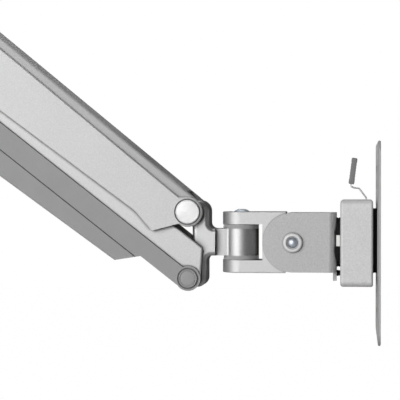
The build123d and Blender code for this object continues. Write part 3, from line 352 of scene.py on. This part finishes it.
def stacked(mesh, outline, layers, put, holes=()):
    """Add a moulded slab to the mesh. Each layer is the outline drawn in by so much at a height, in millimetres.
    Each hole is the outline of an opening right through."""
    def ring(points, inset, height):
        made = []
        for place, (along, up) in enumerate(points):
            before = Vector(points[place - 1])
            after = Vector(points[(place + 1) % len(points)])
            inward = (after - before).orthogonal().normalized()
            made.append(mesh.verts.new(put(along + inward.x * inset, up + inward.y * inset, height)))
        return made

    walls = [[ring(outline, inset, height) for inset, height in layers]]
    ends = (layers[0][1], layers[-1][1])
    walls += [[ring(hole, 0.0, height) for height in ends] for hole in holes]
    for wall in walls:
        for low, high in zip(wall, wall[1:]):
            for place in range(len(low)):
                mesh.faces.new((low[place - 1], low[place], high[place], high[place - 1]))
    for end in (0, -1):
        rims = [wall[end] for wall in walls]
        edges = [mesh.edges.get((rim[place - 1], rim[place])) for rim in rims for place in range(len(rim))]
        bmesh.ops.triangle_fill(mesh, edges=edges, use_beauty=True)


def rounded_outline(corners, radius, steps=6):
    """Corners of a convex outline, counter-clockwise, each with a round of that radius."""
    outline = []
    for place, corner in enumerate(corners):
        corner = Vector(corner)
        before = (Vector(corners[place - 1]) - corner).normalized()
        after = (Vector(corners[(place + 1) % len(corners)]) - corner).normalized()
        half = before.angle(after) / 2
        middle = corner + (before + after).normalized() * radius / sin(half)
        start = corner + before * radius / sin(half) * cos(half) - middle
        end = corner + after * radius / sin(half) * cos(half) - middle
        for step in range(steps + 1):
            share = step / steps
            spoke = (start * (1 - share) + end * share).normalized() * radius
            outline.append(tuple(middle + spoke))
    return outline


def piece(name, mesh, material, body, slot, *replaced):
    """Make an object of the mesh, smooth but for its sharp edges, that rides on a body and replaces CAD nodes."""
    sharp = radians(36)
    bmesh.ops.recalc_face_normals(mesh, faces=mesh.faces)
    data = bpy.data.meshes.new(name)
    mesh.to_mesh(data)
    mesh.free()
    data.shade_smooth()
    data.set_sharp_from_angle(angle=sharp)
    data.materials.append(material)
    made = bpy.data.objects.new(name, data)
    bpy.context.scene.collection.objects.link(made)
    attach(made, body)
    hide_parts(*replaced)
    return made


both_sides = (Vector((0.0, -1.0, 0.0)), Vector((0.0, 1.0, 0.0)))
# The front of the head box from the wall and the spread of its screws, in millimetres.
box_front = 600.68
plate_screw_spread = 36.3


def upper_caps(name, joint, body, node):
    """Turned aluminium discs over the ends of an upper pivot pin, with a bevelled rim, a groove and a crown."""
    mesh = bmesh.new()
    spigot, disc = 9.0, 13.3
    inner, seat = 31.0, 32.6
    back = [(0, inner), (spigot, inner), (spigot, seat), (disc, seat)]
    rim = [(disc, 34.6), (13.18, 34.9), (12.9, 35.1), (12.45, 35.16)]
    groove = [(12.3, 34.95), (12.0, 34.95)]
    crown = [(11.85, 35.18), (9.0, 35.29), (5.0, 35.37), (0, 35.4)]
    for way in both_sides:
        turned(mesh, back + rim + groove + crown, pivot[joint], way, steps=96)
    piece(name, mesh, spun_aluminium(name + "_aluminium", pivot[joint]), body, "spun_aluminium", node)


def lower_caps(name, joint_place, body, node):
    """Moulded plugs over the ends of a lower pivot pin: a round rim, a groove and a flat middle."""
    mesh = bmesh.new()
    spigot, plug = 7.0, 10.3
    inner, seat = 27.5, 28.8
    back = [(0, inner), (spigot, inner), (spigot, seat), (plug, seat)]
    rim = [(plug, 30.3), (10.1, 30.65), (9.7, 30.85), (9.3, 30.85)]
    groove = [(9.0, 30.6), (8.7, 30.3), (8.3, 30.3), (8.05, 30.6)]
    middle = [(7.8, 30.75), (4.0, 30.85), (0, 30.9)]
    for way in both_sides:
        turned(mesh, back + rim + groove + middle, joint_place, way)
    piece(name, mesh, cable_grey, body, "cable_grey", node)


def dome(radius, height, base, inner, rows):
    """Outline of a bolt's domed head, from its rim in to a smaller radius."""
    ball = (radius**2 + height**2) / (2 * height)
    reaches = [radius - (radius - inner) * row / rows for row in range(rows + 1)]
    return [(reach, base + height - ball + sqrt(ball**2 - reach**2)) for reach in reaches]


def swivel_bolt(name, joint, body, node):
    """Domed bolt of a swivel, with a hexagonal socket in its head and a chamfered end."""
    mesh = bmesh.new()
    shank_radius, head_radius, head_height = 6.0, 9.9, 3.3
    end, seat, chamfer = -34.0, 34.0, 0.8
    socket_width, socket_depth = 6.0, 2.6
    rim_width = 0.1
    shank = [(0, end), (shank_radius - chamfer, end), (shank_radius, end + chamfer), (shank_radius, seat)]
    under_head = [(9.5, seat)]
    head = dome(head_radius, head_height, seat + rim_width, socket_width * 0.72, rows=7)
    top = head[-1][1]
    socket = hexagon(socket_width)
    well = [(socket, top - 0.15), (socket, top - socket_depth), (0, top - socket_depth - 0.6)]
    turned(mesh, shank + under_head + head + well, pivot[joint], (0, 0, 1))
    piece(name, mesh, dome_chrome, body, "zinc_steel", node)


def tilt_bolt():
    """Plain domed bolt across the tilt bracket."""
    mesh = bmesh.new()
    shank_radius, head_radius, head_height = 4.0, 6.1, 3.4
    end, seat, chamfer = -35.9, 27.9, 0.6
    shank = [(0, end), (shank_radius - chamfer, end), (shank_radius, end + chamfer), (shank_radius, seat)]
    turned(mesh, shank + dome(head_radius, head_height, seat, 0, rows=10), pivot["head_tilt"], both_sides[0])
    piece("tilt_bolt_domed", mesh, dome_chrome, "tilt_bracket", "zinc_steel", "tilt_bolt")


upper_caps("rear_upper_discs", "arm_lift", "upper_arm", "rear_upper_caps")
upper_caps("front_upper_discs", "front_knuckle_level", "upper_arm", "front_upper_caps")
lower_front = pivot["front_knuckle_level"] + pivot["lower_link_swing"] - pivot["arm_lift"]
lower_caps("rear_lower_plugs", pivot["lower_link_swing"], "lower_link", "rear_lower_caps")
lower_caps("front_lower_plugs", lower_front, "lower_link", "front_lower_caps")
swivel_bolt("wall_swivel_domed_bolt", "wall_swivel", "wall", "wall_swivel_bolt")
swivel_bolt("head_swivel_domed_bolt", "head_swivel", "head_clevis", "head_swivel_bolt")
tilt_bolt()


def facing_screen(middle):
    """Puts a drawing seen from the screen's side at its heights, which are millimetres from the wall."""
    return lambda along, up, height: Vector((height * MM, middle.y + along * MM, middle.z + up * MM))


def half_disc(radius, chord, corner, steps=40):
    """Outline of the part of a disc above a chord, with its two corners eased."""
    start = asin(chord / radius) + corner / radius
    angles = [start + (pi - 2 * start) * step / steps for step in range(steps + 1)]
    arc = [Vector((radius * cos(angle), radius * sin(angle))) for angle in angles]
    end = sqrt(radius**2 - chord**2)
    eased = []
    for way, leave in ((-1, arc[-1]), (1, arc[0])):
        tip = Vector((way * end, chord))
        inner = Vector((way * (end - corner), chord))
        shares = (0.25, 0.5, 0.75, 1.0)
        eased.append([leave * (1 - t) ** 2 + tip * 2 * t * (1 - t) + inner * t**2 for t in shares])
    return [tuple(point) for point in arc + eased[0] + eased[1][::-1]]


def turn_pads():
    """Two rubber half discs that the head box turns against, each with a groove round its side."""
    mesh = bmesh.new()
    base = pivot["plate_turn"].x / MM
    rise = (pivot["plate_turn"].z - pivot["head_tilt"].z) / MM
    radius = 27.6
    half_slot = 6.36
    corner = 1.6
    layers = [(0.5, 0), (0, 0.45), (0, 1.3), (0.55, 1.7), (0.55, 2.4), (0, 2.8), (0, 3.75), (0.5, 4.2)]
    heights = [(inset, base + height) for inset, height in layers]
    put = facing_screen(pivot["head_tilt"])
    stacked(mesh, half_disc(radius, half_slot + rise, corner), heights, put)
    lower = [(-along, -up) for along, up in half_disc(radius, half_slot - rise, corner)]
    stacked(mesh, lower, heights, put)
    piece("turn_pads_moulded", mesh, black_rubber, "tilt_bracket", "black_rubber", "turn_pads")


def turn_bumper():
    """Rubber button below the turn pads."""
    mesh = bmesh.new()
    drop = 34.5
    base = Vector((pivot["plate_turn"].x, 0.0, pivot["head_tilt"].z - drop * MM))
    foot = [(0, 0), (2.9, 0), (3.4, 0.4), (3.4, 1.9)]
    groove = [(3.0, 2.2), (3.0, 2.6)]
    button = [(3.3, 2.9), (2.9, 3.7), (2.0, 4.1), (0, 4.2)]
    turned(mesh, foot + groove + button, base, (1, 0, 0), steps=40)
    piece("turn_bumper_moulded", mesh, black_rubber, "tilt_bracket", "black_rubber", "turn_bumper")


def plate_pad():
    """Square rubber pad behind the screen plate, with two grooves round its side and openings for the studs."""
    mesh = bmesh.new()
    half, corner_round = 35.3, 8.0
    hole, hole_rise, steps = 6.56, 16.0, 48
    edge, groove = 0.5, 0.5
    corners = ((-half, -half), (half, -half), (half, half), (-half, half))
    back = [(edge, 0), (0, 0.4), (0, 1.1)]
    grooves = [(groove, 1.4), (groove, 1.8), (0, 2.1), (0, 2.4), (groove, 2.7), (groove, 3.1)]
    front = [(0, 3.4), (0, 4.1), (edge, 4.5)]
    angles = [tau * step / steps for step in range(steps)]
    ring = [(hole * cos(angle), hole * sin(angle)) for angle in angles]
    holes = [[(along, up + way * hole_rise) for along, up in ring] for way in (1, -1)]
    heights = [(inset, box_front + height) for inset, height in back + grooves + front]
    stacked(mesh, rounded_outline(corners, corner_round), heights, facing_screen(pivot["plate_turn"]), holes)
    piece("plate_pad_moulded", mesh, black_rubber, "head_box", "black_rubber", "plate_pad")


def front_plate_screws():
    """Four socket screws that hold the front plate to the posts of the box."""
    mesh = bmesh.new()
    socket = hexagon(2.5)
    shank_radius, head_radius = 2.0, 3.8
    length, chamfer, seat, ease = 16.2, 0.6, 2.2, 0.4
    depths = [
        (0, length), (shank_radius - chamfer, length), (shank_radius, length - chamfer), (shank_radius, seat),
        (head_radius, seat), (head_radius, ease), (head_radius - ease, 0), (1.7, 0),
        (socket, 0.1), (socket, 1.5), (0, 1.9),
    ]
    outline = [(radius, box_front - depth) for radius, depth in depths]
    for along in (-plate_screw_spread, plate_screw_spread):
        for up in (-plate_screw_spread, plate_screw_spread):
            base = Vector((0.0, along * MM, pivot["head_tilt"].z + up * MM))
            turned(mesh, outline, base, (1, 0, 0), steps=48)
    piece("front_plate_socket_screws", mesh, zinc_steel, "head_box", "zinc_steel", "front_plate_screws")


def bent_wire(mesh, points, radius, sides=12):
    """Add a round wire along the points to the mesh, in metres."""
    rings = []
    side = None
    for place, point in enumerate(points):
        ahead = points[min(place + 1, len(points) - 1)] - points[max(place - 1, 0)]
        ahead.normalize()
        side = ahead.orthogonal() if side is None else side - ahead * side.dot(ahead)
        side.normalize()
        other = ahead.cross(side)
        spokes = [side * cos(tau * step / sides) + other * sin(tau * step / sides) for step in range(sides)]
        rings.append([mesh.verts.new(point + spoke * radius) for spoke in spokes])
    for low, high in zip(rings, rings[1:]):
        for step in range(sides):
            mesh.faces.new((low[step - 1], low[step], high[step], high[step - 1]))
    mesh.faces.new(rings[0])
    mesh.faces.new(rings[-1])


def latch_spring():
    """Coil spring over the release wire, with closed ends."""
    mesh = bmesh.new()
    coil = 3.4 * MM
    wire = 0.55 * MM
    turns = 7.0
    closed = 0.8
    steps = 196
    low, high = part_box("latch_spring")
    middle = (low + high) / 2
    length = high.z - low.z - 2 * wire
    points = []
    for step in range(steps + 1):
        share = step / steps
        angle = tau * turns * share
        wound = min(max((share * turns - closed) / (turns - 2 * closed), 0.0), 1.0)
        end_rise = (min(share * turns, closed) - min((1 - share) * turns, closed)) / closed * wire
        height = low.z + wire + (length - 2 * wire) * wound + wire + end_rise
        points.append(Vector((middle.x + coil * cos(angle), coil * sin(angle), height)))
    bent_wire(mesh, points, wire)
    spring = piece("latch_coil_spring", mesh, spring_wire, "head_box", "spring_wire", "latch_spring")
    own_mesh(spring)


def release_tab():
    """Moulded pull tab on the release wire, with finger grooves across its broad faces."""
    mesh = bmesh.new()
    lean = radians(7.4)
    rise = Vector((sin(lean), 0.0, cos(lean)))
    depth_way = Vector((cos(lean), 0.0, -sin(lean)))
    half_depth, length, half_width, edge = 3.2, 29.5, 9.0, 1.5
    foot_from_wall, foot_rise = 576.88, 64.6
    foot = Vector((foot_from_wall * MM, 0.0, pivot["head_tilt"].z + foot_rise * MM))
    groove, first_groove, pitch, count, waves = 0.35, 6.0, 3.2, 6, 4

    def side(up):
        """How far a broad face is from the middle at a height."""
        run = (up - first_groove) / pitch
        return half_depth - (groove * (1 - cos(tau * run)) / 2 if 0 < run < count else 0.0)

    heights = [first_groove + pitch * step / waves for step in range(count * waves + 1)]
    turns = [radians(turn) for turn in (90, 60, 30, 0)]
    ease = [(edge * (1 - cos(turn)), edge * (1 - sin(turn))) for turn in turns]
    right = [(half_depth - draw, up) for draw, up in ease] + [(side(up), up) for up in heights]
    right += [(half_depth - draw, length - up) for draw, up in ease[::-1]]
    outline = right + [(-along, up) for along, up in right[::-1]]
    turns = [radians(turn) for turn in (0, 22.5, 45, 67.5, 90)]
    rim = [(edge * (1 - sin(turn)), half_width - edge * (1 - cos(turn))) for turn in turns]
    layers = [(inset, -height) for inset, height in rim] + rim[::-1]

    def put(along, up, height):
        return foot + (depth_way * along + rise * up) * MM + Vector((0, height * MM, 0))

    stacked(mesh, outline, layers, put)
    piece("release_tab_moulded", mesh, tab_grey, "release_latch", "tab_grey", "release_tab")


turn_pads()
turn_bumper()
plate_pad()
front_plate_screws()
latch_spring()
release_tab()


# Floor, light and camera

def seen_rays(shade):
    """1 for the camera's own rays and those through glass."""
    path = shade.node("ShaderNodeLightPath", output="Is Camera Ray")
    return path + shade.node("ShaderNodeLightPath", output="Is Transmission Ray")


def studio():
    """Pale floor far below, a white backdrop behind the mount, and a dimmer room around it."""
    floor_drop = 2.0
    floor_gloss = 0.15
    room_light = 0.05
    room_seen = 0.07
    floor_size = 60.0
    floor_seen = 0.85
    bpy.ops.mesh.primitive_plane_add(size=floor_size, location=(0.3, 0.0, cad_box[0].z - floor_drop))
    floor = bpy.context.object
    floor.name = "floor"
    material, shade = new_material("pale_floor")
    gloss = shade.node("ShaderNodeLightPath", output="Is Glossy Ray")
    seen = shade.math("MAXIMUM", seen_rays(shade), gloss * floor_gloss)
    matt = shade.node("ShaderNodeBsdfDiffuse", {}, {"Color": grey(0.35)}, "BSDF")
    white = shade.node("ShaderNodeEmission", {}, {"Color": grey(1.0), "Strength": 1.17}, "Emission")
    mixed = shade.node("ShaderNodeMixShader", {}, {0: seen * floor_seen, 1: matt, 2: white}, "Shader")
    shade.node("ShaderNodeOutputMaterial", {}, {"Surface": mixed}, None)
    floor.data.materials.append(material)

    world = bpy.data.worlds.new("studio")
    world.use_nodes = True
    world.node_tree.nodes.clear()
    shade = Shade(world.node_tree)
    way = shade.node("ShaderNodeTexCoord", output="Generated")
    depth = shade.node("ShaderNodeSeparateXYZ", {}, {"Vector": way}, "Y")
    backdrop = {"Value": depth, "From Min": 0.85, "From Max": 1.0}
    behind = shade.node("ShaderNodeMapRange", {}, backdrop, "Result")
    gloss = shade.node("ShaderNodeLightPath", output="Is Glossy Ray")
    shown = seen_rays(shade) + gloss * (behind * (1 - room_seen) + room_seen)
    strength = shade.math("MAXIMUM", shown, room_light)
    light = shade.node("ShaderNodeBackground", {}, {"Color": grey(1.0), "Strength": strength}, "Background")
    shade.node("ShaderNodeOutputWorld", {}, {"Surface": light}, None)
    bpy.context.scene.world = world


camera_turn = 5.94


def softbox(name, turn, height, distance, size, power):
    """Square lamp that faces the middle of the mount, at an angle left of the photograph's view and above it."""
    turn = radians(turn - camera_turn)
    height = radians(height)
    middle = (cad_box[0] + cad_box[1]) / 2
    way = Vector((-sin(turn) * cos(height), -cos(turn) * cos(height), sin(height)))
    lamp = bpy.data.lights.new(name, "AREA")
    lamp.shape = "SQUARE"
    lamp.size = size
    lamp.energy = power
    box = bpy.data.objects.new(name, lamp)
    box.location = middle + way * distance
    box.rotation_mode = "QUATERNION"
    box.rotation_quaternion = (-way).to_track_quat("-Z", "Y")
    box.visible_camera = False
    bpy.context.scene.collection.objects.link(box)


def camera():
    """Long lens at the photograph's viewing angle."""
    from_tilt_bolt = Vector((71.3, -1700.0, 63.8)) * MM
    dip = 0.57
    data = bpy.data.cameras.new("camera")
    data.sensor_width = 36.0
    data.lens = 136.4
    eye = bpy.data.objects.new("camera", data)
    eye.location = pivot["head_tilt"] + from_tilt_bolt
    eye.rotation_euler = (radians(90 - dip), 0.0, radians(camera_turn))
    bpy.context.scene.collection.objects.link(eye)
    bpy.context.scene.camera = eye


studio()
softbox("key_light", turn=32.0, height=10.0, distance=6.0, size=5.0, power=372.0)
softbox("back_light", turn=165.0, height=8.0, distance=5.0, size=2.5, power=180.0)
softbox("screen_light", turn=-84.0, height=0.0, distance=5.0, size=0.6, power=85.0)
softbox("top_light", turn=180.0, height=75.0, distance=5.0, size=2.5, power=55.0)
camera()
bpy.context.scene.view_settings.view_transform = "Standard"
